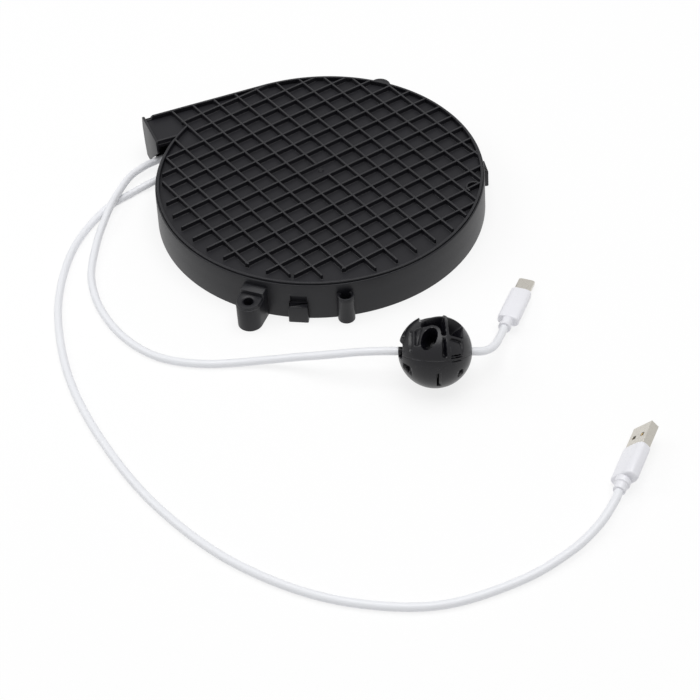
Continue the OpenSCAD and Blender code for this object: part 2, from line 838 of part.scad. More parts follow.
module ball_upper_half() {
    side = 2 * ball_r;
    color("#252527") on_ball() difference() {
        union() {
            intersection() {
                sphere(ball_floor_r);
                translate([-ball_r, -ball_r, 0]) cube([side, side, ball_r]);
            }
            ball_slab([-ball_r, -ball_r, 0], [side, side, ball_flange_h]);
            ball_apron();
            for (t = ball_webs) ball_web(t);
            for (x = ball_cross_at) ball_slab([x, -ball_r, 0], [ball_web_w, side, ball_r]);
            for (x = [-ball_r, ball_cap_at])
                ball_slab([x, -ball_r, 0], [ball_r - ball_cap_at, side, ball_r]);
            intersection() {
                ball_slab([-ball_r, -ball_r, 0], [side, side, ball_r]);
                ring_boss(ring_boss_r, 0, ring_boss_l);
            }
        }
        ball_bore();
        ring_boss(ring_boss_bore_r, ring_boss_l - ring_boss_deep, ball_r);
        for (p = upper_pockets) ball_pocket(p);
    }
}

module ball_lower_half() {
    color("#252527") on_ball() difference() {
        ball_slab([-ball_r, -ball_r, -ball_r], [2 * ball_r, 2 * ball_r, ball_r]);
        ball_bore();
        for (p = lower_pockets) ball_pocket(p);
    }
}

module stop_sleeve() {
    color("#b8babd") on_ball() rotate([0, 90, 0]) difference() {
        cylinder(r = sleeve_r, h = sleeve_l, center = true, $fn = 48);
        cylinder(r = cable_d / 2 + run_gap, h = sleeve_l + 2 * over, center = true, $fn = 48);
    }
}

// Oval plug: moulded body with a stepped collar, a drawn steel tube and its contact core
module on_oval_plug() {
    translate(retract_route[len(retract_route) - 1])
        rotate([0, oval_pitch, oval_turn])
            translate([oval_collar_l, 0, 0])
                children();
}

module oval_plug_body() {
    color("#ececee") on_oval_plug() difference() {
        union() {
            bar(oval_body_l, oval_body_w, oval_body_t, oval_corner_r);
            translate([-oval_collar_l, 0, 0]) rotate([0, 90, 0]) {
                cylinder(r = oval_collar_r - oval_collar_neck, h = oval_collar_l + over);
                cylinder(r = oval_collar_r, h = oval_collar_ring);
            }
        }
        translate([oval_body_l - oval_shell_in, 0, 0])
            bar(oval_shell_in + over, oval_shell_w, oval_shell_t, oval_shell_t / 2 - run_gap);
    }
}

module oval_plug_shell() {
    color("#c4c5c7") on_oval_plug() translate([oval_body_l - oval_shell_in, 0, 0]) difference() {
        bar(oval_shell_in + oval_shell_out, oval_shell_w, oval_shell_t,
            oval_shell_t / 2 - run_gap);
        translate([-over, 0, 0])
            bar(oval_shell_in + oval_shell_out + 2 * over, oval_shell_w - 2 * oval_shell_wall,
                oval_shell_t - 2 * oval_shell_wall,
                oval_shell_t / 2 - oval_shell_wall - run_gap);
    }
}

module oval_plug_core() {
    color("#1d1d1f") on_oval_plug() translate([oval_body_l - oval_shell_in, 0, 0]) difference() {
        bar(oval_shell_in + oval_shell_out - oval_core_set,
            oval_shell_w - 2 * oval_shell_wall - 2 * run_gap,
            oval_shell_t - 2 * oval_shell_wall - 2 * run_gap,
            oval_shell_t / 2 - oval_shell_wall - 2 * run_gap);
        translate([oval_shell_in, -oval_slot_w / 2, -oval_slot_t / 2])
            cube([oval_shell_out, oval_slot_w, oval_slot_t]);
    }
}

module fixed_lead() {
    color("#f2f2f3") cord(doubled(lead_route), cable_d);
}

// Flat plug: moulded body with a stepped collar, a folded steel tube, tongue and strips
module on_flat_plug() {
    translate(lead_route[len(lead_route) - 1])
        rotate([0, 0, flat_turn])
            rotate([flat_roll, 0, 0])
                translate([flat_collar_l, 0, 0])
                    children();
}

module flat_plug_body() {
    color("#ececee") on_flat_plug() difference() {
        union() {
            bar(flat_body_l, flat_body_w, flat_body_t, flat_corner_r);
            translate([-flat_collar_l, 0, 0]) rotate([0, 90, 0]) {
                cylinder(r = flat_collar_r - flat_collar_neck, h = flat_collar_l + over);
                translate([0, 0, flat_collar_ring])
                    cylinder(r = flat_collar_r, h = flat_collar_l - flat_collar_ring + over);
            }
        }
        translate([flat_body_l - flat_shell_in, -flat_shell_w / 2, -flat_shell_t / 2])
            cube([flat_shell_in + over, flat_shell_w, flat_shell_t]);
    }
}

module flat_plug_shell() {
    length = flat_shell_in + flat_shell_out;
    inside_w = flat_shell_w - 2 * flat_shell_wall;
    inside_t = flat_shell_t - 2 * flat_shell_wall;
    color("#c9cacc") on_flat_plug() translate([flat_body_l - flat_shell_in, 0, 0]) difference() {
        translate([0, -flat_shell_w / 2, -flat_shell_t / 2])
            cube([length, flat_shell_w, flat_shell_t]);
        translate([-over, -inside_w / 2, -inside_t / 2])
            cube([length + 2 * over, inside_w, inside_t]);
        for (y = [-flat_hole_side, flat_hole_side])
            translate([length - flat_hole_back - flat_hole / 2, y - flat_hole / 2,
                -flat_shell_t / 2 - over])
                cube([flat_hole, flat_hole, flat_shell_t + 2 * over]);
    }
}

module flat_plug_tongue() {
    tongue_w = flat_shell_w - 2 * flat_shell_wall - 2 * run_gap;
    color("#f4f4f2") on_flat_plug()
        translate([flat_body_l - flat_shell_in, -tongue_w / 2,
            -flat_shell_t / 2 + flat_shell_wall])
            cube([flat_shell_in + flat_shell_out - tongue_set, tongue_w, tongue_t]);
}

module flat_plug_contacts() {
    color("#d9a441") on_flat_plug()
        for (k = [0 : strip_count - 1])
            translate([flat_body_l + flat_shell_out - 2 * tongue_set - strip_l,
                (k - (strip_count - 1) / 2) * strip_pitch - strip_w / 2,
                -flat_shell_t / 2 + flat_shell_wall + tongue_t])
                cube([strip_l, strip_w, strip_h]);
}

housing_shell();
base_cover();
cover_screws();
spindle();
thrust_washer();
retaining_clip();
mainspring();
brush_block();
contact_brushes();
lead_wires();
lead_clamp();
clamp_screw();
cable_drum();
drum_cover();
drum_screws();
contact_board();
contact_rings();
wound_cable();
retractable_cable();
ball_upper_half();
ball_lower_half();
stop_sleeve();
oval_plug_body();
oval_plug_shell();
oval_plug_core();
fixed_lead();
flat_plug_body();
flat_plug_shell();
flat_plug_tongue();
flat_plug_contacts();
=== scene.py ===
"""Retractable charging cable: a black moulded drum housing with a ribbed face, a white pull-out
cable with a ball stop and an oval plug, and a white fixed lead with a flat plug."""
import math

import bmesh
import bpy
import numpy as np
from mathutils import Matrix, Vector


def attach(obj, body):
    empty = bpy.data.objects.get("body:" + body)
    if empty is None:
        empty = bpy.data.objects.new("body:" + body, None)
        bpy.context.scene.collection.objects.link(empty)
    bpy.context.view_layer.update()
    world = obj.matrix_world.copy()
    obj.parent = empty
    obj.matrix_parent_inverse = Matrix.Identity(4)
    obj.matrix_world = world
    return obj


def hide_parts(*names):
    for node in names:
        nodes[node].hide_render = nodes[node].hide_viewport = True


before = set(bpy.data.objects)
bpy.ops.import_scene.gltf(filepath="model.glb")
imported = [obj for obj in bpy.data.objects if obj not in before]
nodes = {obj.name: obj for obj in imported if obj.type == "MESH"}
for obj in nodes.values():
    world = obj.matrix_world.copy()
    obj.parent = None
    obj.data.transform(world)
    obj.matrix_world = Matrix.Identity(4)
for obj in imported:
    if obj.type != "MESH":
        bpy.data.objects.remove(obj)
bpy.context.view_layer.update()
MM = 0.001

# Camera
# The view of the photograph: a long lens, looking down at 45 degrees from the front left.
camera_at = np.array([-0.2222, -0.6268, 0.5581])
camera_ahead = Vector((0.2466, 0.6599, -0.7097)).normalized()
camera_right = Vector((0.9229, -0.3834, -0.0358))
camera_right = (camera_right - camera_right.dot(camera_ahead) * camera_ahead).normalized()
camera_up = camera_right.cross(camera_ahead)
camera_data = bpy.data.cameras.new("camera")
camera_data.lens = 82.87
camera_data.clip_end = 50
camera = bpy.data.objects.new("camera", camera_data)
camera.matrix_world = Matrix((
    (camera_right.x, camera_up.x, -camera_ahead.x, camera_at[0]),
    (camera_right.y, camera_up.y, -camera_ahead.y, camera_at[1]),
    (camera_right.z, camera_up.z, -camera_ahead.z, camera_at[2]),
    (0, 0, 0, 1),
))
bpy.context.collection.objects.link(camera)
bpy.context.scene.camera = camera


# Side wall
# The moulded wall of the drum housing, in black plastic. It runs straight along the outlet and
# then round the drum, leans in a little so that it leaves its mould, and ends in a thin raised
# bead behind a narrow groove. The lead's slot and the clips' windows are cut into it, and its
# top steps down beside the mouth.
wall_r = 87.6
wall_t = 2.4
wall_draft = 0.8
housing_h = 22.2
inner_r = wall_r - wall_t
wall_mid_r = wall_r - wall_t / 2
floor_z = 19.6
roof_z = 17.8
roof_mid = (floor_z + roof_z) / 2
bead_out = 85.8
bead_in = 84.6
groove_w = 0.5
groove_deep = 0.8
shoulder_z = 21.2
outlet_reach = 70
outlet_near = 62
near_turn = 180 - math.degrees(math.asin(outlet_near / wall_r))
clip_turns = [-119, -12, 75]
clip_w = 10
clip_h = 10
clip_out = 3.3
window_gap = 0.1
window_h = 4
window_lip = 0.2
window_deep = 1.2
slot_turn = 140.3
slot_half = 4.3
slot_span = 3.2
slot_z = 4.2
slot_rise = 2.4
step_x = -65.4
step_w = 0.9
step_down = 2.2


def rounded(corners, radii, steps=4):
    """A closed outline with an arc at each corner. The arc of radius r at corner c has its centre
    on the corner's bisector, r / sin(half the angle) away, and touches both sides."""
    c = np.asarray(corners, float)
    u = np.roll(c, 1, 0) - c
    v = np.roll(c, -1, 0) - c
    u /= np.linalg.norm(u, axis=1, keepdims=True)
    v /= np.linalg.norm(v, axis=1, keepdims=True)
    half = np.arccos(np.clip((u * v).sum(1), -1, 1)) / 2
    r = np.broadcast_to(np.asarray(radii, float), half.shape)
    middle = (u + v) / np.linalg.norm(u + v, axis=1, keepdims=True)
    centre = c + middle * (r / np.sin(half))[:, None]
    first = c + u * (r / np.tan(half))[:, None] - centre
    last = c + v * (r / np.tan(half))[:, None] - centre
    start = np.arctan2(first[:, 1], first[:, 0])
    sweep = np.arctan2(last[:, 1], last[:, 0]) - start
    sweep = (sweep + np.pi) % (2 * np.pi) - np.pi
    angle = start[:, None] + sweep[:, None] * np.linspace(0, 1, steps + 1)
    arc = np.stack([np.cos(angle), np.sin(angle)], -1) * r[:, None, None]
    return (centre[:, None, :] + arc).reshape(-1, 2)


def ramp(x, width):
    """0 below 0, 1 above the width, and 3t^2 - 2t^3 between them."""
    t = np.clip(x / width, 0, 1)
    return t * t * (3 - 2 * t)


def solid(name, grids, loop=False, crease=32):
    """One mesh object from closed surfaces, each a grid (m, n, 3) in mm of m sections with n
    points round each. Cells become quads. Sections close on the first if loop is set, and the
    first and last are filled otherwise."""
    points, faces, count = [], [], 0
    for grid in grids:
        m, n = grid.shape[:2]
        number = np.arange(m * n).reshape(m, n) + count
        a = number if loop else number[:-1]
        b = np.roll(number, -1, 0) if loop else number[1:]
        quads = np.stack([a, np.roll(a, -1, 1), np.roll(b, -1, 1), b], -1)
        faces += quads.reshape(-1, 4).tolist()
        if not loop:
            faces += [number[0, ::-1].tolist(), number[-1].tolist()]
        points.append(grid.reshape(-1, 3) * MM)
        count += m * n
    mesh = bpy.data.meshes.new(name)
    mesh.from_pydata(np.vstack(points).tolist(), [], faces)
    shape = bmesh.new()
    shape.from_mesh(mesh)
    bmesh.ops.remove_doubles(shape, verts=shape.verts, dist=1e-7)
    bmesh.ops.dissolve_degenerate(shape, edges=shape.edges, dist=1e-7)
    bmesh.ops.recalc_face_normals(shape, faces=shape.faces)
    shape.to_mesh(mesh)
    shape.free()
    mesh.polygons.foreach_set("use_smooth", [True] * len(mesh.polygons))
    mesh.set_sharp_from_angle(angle=math.radians(crease))
    obj = bpy.data.objects.new(name, mesh)
    bpy.context.collection.objects.link(obj)
    return obj


def mix(tree, kind, factor, first, second):
    """A colour mix node: factor, first and second are values or sockets."""
    node = tree.nodes.new("ShaderNodeMix")
    node.data_type = "RGBA"
    node.blend_type = kind
    for socket, value in ((node.inputs[0], factor), (node.inputs[6], first), (node.inputs[7], second)):
        if isinstance(value, bpy.types.NodeSocket):
            tree.links.new(value, socket)
        else:
            socket.default_value = value
    return node.outputs[2]


def moulded(name, colour, rough, grain=900, depth=0.02, cloud=25, vary=0.12, coat=0.0,
            shine=0.5):
    """A moulded plastic or rubber: fine grain in the bump and the roughness, with a slow cloudy
    change of shade over the surface."""
    material = bpy.data.materials.new(name)
    material.use_nodes = True
    tree = material.node_tree
    shader = tree.nodes["Principled BSDF"]
    place = tree.nodes.new("ShaderNodeTexCoord").outputs["Object"]
    fine = tree.nodes.new("ShaderNodeTexNoise")
    fine.inputs["Scale"].default_value = grain
    fine.inputs["Detail"].default_value = 4
    slow = tree.nodes.new("ShaderNodeTexNoise")
    slow.inputs["Scale"].default_value = cloud
    slow.inputs["Detail"].default_value = 5
    for node in (fine, slow):
        tree.links.new(place, node.inputs["Vector"])
    dark = [c * (1 - vary) for c in colour]
    pale = [min(1.0, c * (1 + vary)) for c in colour]
    shade = mix(tree, "MIX", slow.outputs[0], (*dark, 1), (*pale, 1))
    tree.links.new(shade, shader.inputs["Base Color"])
    spread = tree.nodes.new("ShaderNodeMapRange")
    spread.inputs["To Min"].default_value = rough - 0.08
    spread.inputs["To Max"].default_value = rough + 0.08
    tree.links.new(fine.outputs[0], spread.inputs[0])
    tree.links.new(spread.outputs[0], shader.inputs["Roughness"])
    bump = tree.nodes.new("ShaderNodeBump")
    bump.inputs["Strength"].default_value = 0.4
    bump.inputs["Distance"].default_value = depth * MM
    tree.links.new(fine.outputs[0], bump.inputs["Height"])
    tree.links.new(bump.outputs[0], shader.inputs["Normal"])
    shader.inputs["Coat Weight"].default_value = coat
    shader.inputs["Specular IOR Level"].default_value = shine
    return material


def fit(obj, material, node):
    """Gives a new piece its material, attaches it to the housing body and hides the CAD node it stands
    for.
    """
    obj.data.materials.append(material)
    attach(obj, "housing")
    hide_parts(node)


wall_black = moulded("wall_black", (0.006, 0.006, 0.0085), 0.42, grain=1400, depth=0.03, vary=0.2,
                     shine=0.38)
window_low = clip_h + window_gap
window_top = clip_h + window_h


def wall_at(z):
    return wall_r - wall_draft * z / shoulder_z


wall_profile = rounded([
    (inner_r, 0), (wall_r, 0), (wall_at(window_low), window_low),
    (wall_at(window_low + window_lip), window_low + window_lip),
    (wall_at(window_top), window_top),
    (wall_at(window_top + window_lip), window_top + window_lip),
    (wall_r - wall_draft, shoulder_z),
    (bead_out + groove_w, shoulder_z), (bead_out + groove_w, shoulder_z - groove_deep),
    (bead_out, shoulder_z - groove_deep), (bead_out, housing_h), (bead_in, housing_h),
    (bead_in, roof_mid), (inner_r, roof_mid)],
    [0.3, 0.35, 0.02, 0.02, 0.02, 0.02, 0.65, 0.14, 0.1, 0.1, 0.32, 0.32, 0.1, 0.1])
window_span = math.degrees(clip_w / 2 / wall_r)
turns = np.concatenate([np.linspace(90, near_turn - 360, 400)]
                       + [np.linspace(t - 1.1 * window_span, t + 1.1 * window_span, 60)
                          for t in clip_turns]
                       + [np.linspace(slot_turn - slot_span, slot_turn + slot_span, 140) - 360])
turns = np.unique(turns)[::-1]
straight = np.concatenate([[-outlet_reach], np.linspace(step_x - step_w, step_x, 4),
                           np.linspace(-63, 0, 27)[:-1]])
station_x = np.concatenate([straight, np.zeros(len(turns))])[:, None]
station_turn = np.concatenate([np.full(len(straight), 90.0), turns])[:, None]
r = np.broadcast_to(wall_profile[:, 0], (len(station_x), len(wall_profile)))
z = np.broadcast_to(wall_profile[:, 1], r.shape)
window = np.zeros(r.shape)
for turn in clip_turns:
    across = np.abs((station_turn - turn + 180) % 360 - 180) * math.pi / 180 * wall_r
    across = across + np.abs(station_x)
    window = np.maximum(window, ramp(clip_w / 2 - 0.8 - across, 0.25))
inside = (z > window_low + 0.1) & (z < window_top + 0.1) & (r > wall_mid_r)
r = r - window_deep * window * inside
slot_s = np.radians((station_turn - slot_turn + 180) % 360 - 180) * wall_mid_r
slot_top = np.where(np.abs(slot_s) < slot_half,
                    slot_z + slot_rise * np.sqrt(np.clip(1 - (slot_s / slot_half)**2, 0, 1)), 0)
z = np.where(station_x < 0, z, np.maximum(z, slot_top))
z = np.minimum(z, housing_h - step_down * ramp(step_x - station_x, step_w))
angle = np.radians(station_turn)
side_wall = solid("side_wall", [np.stack([station_x + r * np.cos(angle), r * np.sin(angle), z], -1)])
fit(side_wall, wall_black, "housing_shell")


# Ribbed face
# The flat top of the housing, a thin disc of the same black plastic with a patch over the
# outlet. The small round sink in its middle is where the plastic was let into the mould.
rib_turn = 12.6
rib_lean = 0.8
rib_w = 1.3
rib_top_w = 1.08
rib_h = housing_h - floor_z
rib_first_across = 2.9
rib_first_along = -3.9
rib_pitch_across = 12
rib_pitch_along = 10.8
gate_r = 1.9
gate_deep = 0.9
patch_end_x = -8


def turned(points, degrees):
    """Plan points turned about the drum axis by that many degrees."""
    c, s = math.cos(math.radians(degrees)), math.sin(math.radians(degrees))
    return np.asarray(points, float) @ np.array([[c, s], [-s, c]])


floor_black = moulded("floor_black", (0.009, 0.0088, 0.0115), 0.5, grain=1100, depth=0.06, cloud=60,
                      vary=0.3, shine=0.26)
gate_at = turned([rib_first_across, rib_first_along + rib_pitch_along * 2 / 3], rib_turn)
disc_r = np.concatenate([np.linspace(0, 9, 40), np.linspace(10, wall_mid_r, 40)])
disc_turn = np.radians(np.arange(0, 360, 1.5))
flat_x = disc_r[:, None] * np.cos(disc_turn)
flat_y = disc_r[:, None] * np.sin(disc_turn)
from_gate = np.hypot(flat_x - gate_at[0], flat_y - gate_at[1])
sink = gate_deep * ramp(gate_r - from_gate, 1.2)
upper = np.stack([flat_x, flat_y, floor_z - sink], -1)
under = np.stack([flat_x, flat_y, np.full(flat_x.shape, roof_z)], -1)
patch_x = np.linspace(-outlet_reach, patch_end_x, 63)
disc_edge = np.sqrt(wall_mid_r**2 - patch_x**2)
patch_near = np.where(disc_edge < outlet_near, outlet_near, disc_edge)
patch_far = np.full(len(patch_x), wall_mid_r)
patch = np.stack([np.stack([patch_x, side, np.full(len(patch_x), level)], -1)
                  for side, level in ((patch_near, roof_z), (patch_far, roof_z),
                                      (patch_far, floor_z), (patch_near, floor_z))], 1)
ribbed_face = solid("ribbed_face", [np.concatenate([upper, under[::-1]]), patch])
fit(ribbed_face, floor_black, "housing_shell")


# Ribs
# Two families of thin ribs moulded onto the face, which stiffen it. Each tapers upwards so that
# it leaves the mould, has a rounded top edge and a fillet along its foot, and ends round where
# it stops short of the rim.
first_row = -6
rim_row = 7
outlet_rib_at = rib_first_across - 3 * rib_pitch_across
rib_reach = 95
rib_samples = 4001
fewest_samples = 30
drawn_back_share = 0.4
rim_overlap = 0.5
zone_r = 84.7
zone_at = (3.5, 4)


def ridge(path, foot, top, height, low=floor_z, fillet=0.25):
    """A ridge along a path in plan. Its outline runs along the path, half round its end, back and
    half round its start, and each level sets it out from the path by half the ridge's width there:
    a fillet at the foot, a tapered side, a rounded top edge and a narrow flat."""
    p = np.asarray(path, float)
    ahead = np.gradient(p, axis=0)
    ahead /= np.linalg.norm(ahead, axis=1, keepdims=True)
    aside = np.stack([-ahead[:, 1], ahead[:, 0]], -1)
    turn = np.radians(np.linspace(0, 180, 13))[1:-1, None]
    base = np.vstack([p, np.repeat(p[-1:], 11, 0), p[::-1], np.repeat(p[:1], 11, 0)])
    out = np.vstack([aside, np.cos(turn) * aside[-1] + np.sin(turn) * ahead[-1],
                     -aside[::-1], -np.cos(turn) * aside[0] - np.sin(turn) * ahead[0]])
    bend = np.radians(np.linspace(4, 82, 7))
    edge = np.radians(np.linspace(0, 80, 4))
    half = np.concatenate([foot / 2 + fillet * (1 - np.sin(bend)),
                           top / 2 - 0.3 + 0.3 * np.cos(edge)])
    level = np.concatenate([low + fillet * (1 - np.cos(bend)),
                            low + height - 0.3 + 0.3 * np.sin(edge)])
    half = np.insert(half, 0, half[0])
    level = np.insert(level, 0, low - 0.4)
    plan = base + half[:, None, None] * out
    return np.concatenate([plan, np.broadcast_to(level[:, None, None], plan.shape[:2] + (1,))], -1)


def in_zone(p):
    """Whether plan points lie where ribs stand: inside the rim, and inside the rib circle or on
    the drum side of the last rib of the outlet."""
    x, y = p[:, 0], p[:, 1]
    disc = np.hypot(x, y) < bead_in + rim_overlap
    outlet = (x < 0) & (y > outlet_near) & (y < bead_in + rim_overlap)
    circle = np.hypot(x - zone_at[0], y - zone_at[1]) < zone_r
    grid = turned(p, -rib_turn - rib_lean)
    corner = (grid[:, 0] > outlet_rib_at - rib_w / 2) & (grid[:, 1] > 0)
    return (disc | outlet) & (circle | corner)


def rib_between(axis, at, start, finish, lean, other_first, other_pitch):
    """The two ends of a rib that lies at one place across its family, from start to finish along
    it. A free end that has just passed a rib of the other family is drawn back onto it."""
    along = np.linspace(start, finish, rib_samples)
    across = np.full(rib_samples, float(at))
    line = turned(np.stack([along, across] if axis == 0 else [across, along], -1), lean)
    there = np.flatnonzero(in_zone(line))
    if len(there) < fewest_samples:
        return None
    ends = []
    for end, sense in ((there[0], -1), (there[-1], 1)):
        past = sense * (along[end] - other_first) / other_pitch % 1
        free = np.hypot(*line[end]) < bead_in - 0.4
        back = past * other_pitch if free and past < drawn_back_share else 0
        ends.append(line[end] - sense * back * (line[-1] - line[0]) / (finish - start))
    return ends


rib_black = moulded("rib_black", (0.009, 0.0088, 0.0115), 0.36, grain=1200, depth=0.04, cloud=45,
                    vary=0.25, shine=0.36)
rib_grids = []
for i in range(-8, 9):
    at = rib_first_across + i * rib_pitch_across
    lean = rib_turn + rib_lean
    gap = (rib_first_along, rib_first_along + rib_pitch_along)
    halves = [(-rib_reach, gap[0]), (gap[1], rib_reach)]
    for start, finish in (halves if i == 0 else [(-rib_reach, rib_reach)]):
        ends = rib_between(1, at, start, finish, lean, rib_first_along, rib_pitch_along)
        if ends is not None:
            rib_grids.append(ridge(ends, rib_w, rib_top_w, rib_h - 0.04))
for i in range(first_row, 9):
    at = rib_first_along + i * rib_pitch_along
    start = outlet_rib_at if i in (first_row, rim_row) else -rib_reach
    ends = rib_between(0, at, start, rib_reach, rib_turn, rib_first_across, rib_pitch_across)
    if ends is not None:
        rib_grids.append(ridge(ends, rib_w, rib_top_w, rib_h))
ribs = solid("ribs", rib_grids, crease=50)
fit(ribs, rib_black, "housing_shell")


# Rim inside the outlet
# The bead of the round wall goes on as a low ridge across the outlet and meets the ribs. A
# second ridge edges the outlet's near side, and a short bent one makes a nook beside the rim.
rim_mid = (bead_in + bead_out) / 2
rim_turn = np.radians(np.linspace(126.4, near_turn + 0.2, 24))
rim_path = rim_mid * np.stack([np.cos(rim_turn), np.sin(rim_turn)], -1)
near_y = outlet_near + 0.6
nook_at = (68.6, -44.6)
nook_r = 3.85
near_end = -math.sqrt(rim_mid**2 - near_y**2)
nook_turn = np.radians(np.linspace(35, 205, 22))
nook_path = np.array(nook_at) + nook_r * np.stack([np.cos(nook_turn), np.sin(nook_turn)], -1)
rims = solid("rims", [
    ridge(rim_path, 1.24, 1.1, rib_h - 0.02),
    ridge([(0.66 - outlet_reach, near_y), (near_end, near_y)], 1.2, 1.1, rib_h - 0.06),
    ridge(nook_path, 1.1, 0.95, rib_h - 0.1)], crease=50)
fit(rims, rib_black, "housing_shell")


# Mouth plate
# A thin plate moulded across the mouth of the outlet, leaning out a little. Its lower edge is
# cut away on the near side, and the pull-out cable leaves through that opening.
plate_t = 1.4
plate_lean = 3.8
plate_proud = 1
plate_shares = [(0.97, 1), (0.97, 0.72), (0.87, 0.33), (0.74, 0), (0.57, 0), (-0.1, 0.73),
                (-0.02, 1)]


def pad(outline, levels):
    """Sections of a rounded pad: the outline drawn in by the first number of each level, square
    to its edge, at the height in the second."""
    o = np.asarray(outline, float)
    edge = np.roll(o, -1, 0) - np.roll(o, 1, 0)
    edge /= np.linalg.norm(edge, axis=1, keepdims=True)
    turn = np.sign(np.sum(o[:, 0] * np.roll(o[:, 1], -1) - o[:, 1] * np.roll(o[:, 0], -1)))
    inwards = turn * np.stack([-edge[:, 1], edge[:, 0]], -1)
    return np.stack([np.column_stack([o + draw * inwards, np.full(len(o), level)])
                     for draw, level in levels])


plate_w = wall_r - outlet_near
plate_outline = rounded([(s * plate_w, t * housing_h) for s, t in plate_shares],
                        [1, 0.8, 1, 0.7, 0.7, 1.6, 0.6])
plate = pad(plate_outline, [(0.3, 0), (0.08, 0.08), (0, 0.3), (0, plate_t - 0.3),
                            (0.08, plate_t - 0.08), (0.3, plate_t)])
depth, up = plate[:, :, 2], plate[:, :, 1] - housing_h
lean = math.radians(plate_lean)
plate_points = np.stack([
    -outlet_reach - plate_proud + depth * math.cos(lean) + up * math.sin(lean),
    outlet_near + plate[:, :, 0],
    housing_h - depth * math.sin(lean) + up * math.cos(lean)], -1)
plate_black = moulded("plate_black", (0.007, 0.007, 0.0095), 0.4, grain=1500, depth=0.02, shine=0.36)
mouth_plate = solid("mouth_plate", [plate_points])
fit(mouth_plate, plate_black, "housing_shell")


# Fixing lugs
# Two lugs moulded onto the wall take the screws that fix the housing down. Each is rounded
# outside, has a stepped top round its bore, and rises as a ledge against the wall.
lug_r = 6.3
lug_h = 15.4
lug_bore_r = 2.5
lug_ledge = 4.2
lug_ledge_up = 2.2
around = np.radians(np.linspace(-180, 180, 121)[:-1])


def placed(points, turn):
    """Points turned about the drum axis by that many degrees."""
    return np.concatenate([turned(points[..., :2].reshape(-1, 2), turn).reshape(
        points.shape[:-1] + (2,)), points[..., 2:]], -1)


def lug(reach, turn):
    """A fixing lug. In plan it is a half circle outside and straight sides back to the wall,
    rho(phi) from the bore's centre, and its section runs up the bore, over the top and down."""
    back = reach - wall_mid_r
    side = lug_r / np.maximum(np.abs(np.sin(around)), 1e-6)
    end = back / np.maximum(-np.cos(around), 1e-6)
    rho = np.where(np.cos(around) > 0, lug_r, np.minimum(side, end))
    bore = [(lug_bore_r, 0.3), (lug_bore_r, lug_h - 1.2), (lug_bore_r + 0.12, lug_h - 0.7),
            (lug_bore_r + 0.5, lug_h - 0.35), (lug_bore_r + 1.1, lug_h - 0.15)]
    outer = [(1.0, lug_h), (0.62, lug_h - 0.05), (0.42, lug_h - 0.3), (0.38, lug_h - 1.3),
             (0.3, lug_h - 1.5), (0.06, lug_h - 1.62), (0, lug_h - 1.9), (-0.02, 0.3), (0.25, 0)]
    rings = [np.stack([np.minimum(radius, rho) * np.cos(around),
                       np.minimum(radius, rho) * np.sin(around), np.full(len(rho), level)], -1)
             for radius, level in bore]
    rings += [np.stack([(rho - draw) * np.cos(around), (rho - draw) * np.sin(around),
                        np.full(len(rho), level)], -1) for draw, level in outer]
    rings.append(rings[0] * np.array([1.08, 1.08, 0]))
    return placed(np.stack(rings) + np.array([reach, 0, 0]), turn)


def ledge(reach, turn):
    """The raised block between a lug's bore and the wall."""
    front = reach - lug_ledge
    outline = rounded([(wall_mid_r, -lug_r + 0.1), (front, -lug_r + 0.1), (front, lug_r - 0.1),
                       (wall_mid_r, lug_r - 0.1)], [0.1, 0.7, 0.7, 0.1])
    high = lug_h + lug_ledge_up
    return placed(pad(outline, [(0, 2), (0.05, high - 0.5), (0.18, high - 0.15), (0.5, high)]), turn)


lugs = [(96, -133.4), (91.6, 46.5)]
lug_rings = solid("lugs", [lug(*at) for at in lugs], loop=True)
lug_ledges = solid("lug_ledges", [ledge(*at) for at in lugs])
for obj in (lug_rings, lug_ledges):
    fit(obj, wall_black, "housing_shell")


# Round column
# A short column moulded onto the foot of the wall, with a dished top round a blind bore and
# slightly flared shoulders. The screw posts under the face are turned the same way.
column_at = (89, -103.7)
posts = [60, 150, 240, 330]
post_at_r = 78.6


def spun(profile, reach, turn, sides=64):
    """A profile of (radius, height) points spun about a vertical axis, which stands at that reach
    from the drum axis and that turn."""
    radius, level = np.asarray(profile, float).T
    phi = np.radians(np.arange(sides) * 360 / sides)
    return placed(np.stack([reach + radius[:, None] * np.cos(phi), radius[:, None] * np.sin(phi),
                            np.broadcast_to(level[:, None], (len(radius), sides))], -1), turn)


column = solid("column", [spun([
    (0, 0), (3.9, 0), (4.3, 0.3), (4.25, 12.6), (4.4, 13.6), (4.4, 15.5), (4.2, 16.1),
    (3.85, 16.35), (3.6, 16.3), (3.45, 15.9), (3.2, 15.55), (2.85, 15.3), (2.75, 14.9),
    (2.7, 11.5), (0, 11.4)], *column_at)])
fit(column, wall_black, "housing_shell")
screw_posts = solid("screw_posts", [spun([
    (0, roof_mid), (3.3, roof_mid), (3.2, 2.3), (2.9, 2.02), (1.6, 2.02), (1.3, 2.3), (1.25, 11.8),
    (0, 12)], post_at_r, t, 40) for t in posts])
fit(screw_posts, floor_black, "housing_shell")


# Clip catches
# Three blocks moulded onto the foot of the wall, under its windows, for an outer case to snap
# over. Their sides lean in towards the top.
clip_outline = rounded([(wall_mid_r, -clip_w / 2), (wall_r + clip_out, -clip_w / 2),
                        (wall_r + clip_out, clip_w / 2), (wall_mid_r, clip_w / 2)],
                       [0.1, 0.6, 0.6, 0.1])
clip = pad(clip_outline, [(0.3, 0), (0.08, 0.08), (0, 0.3), (0.3, clip_h - 0.9),
                          (0.38, clip_h - 0.4), (0.55, clip_h - 0.12), (0.85, clip_h)])
clips = solid("clip_catches", [placed(clip, t) for t in clip_turns])
fit(clips, wall_black, "housing_shell")


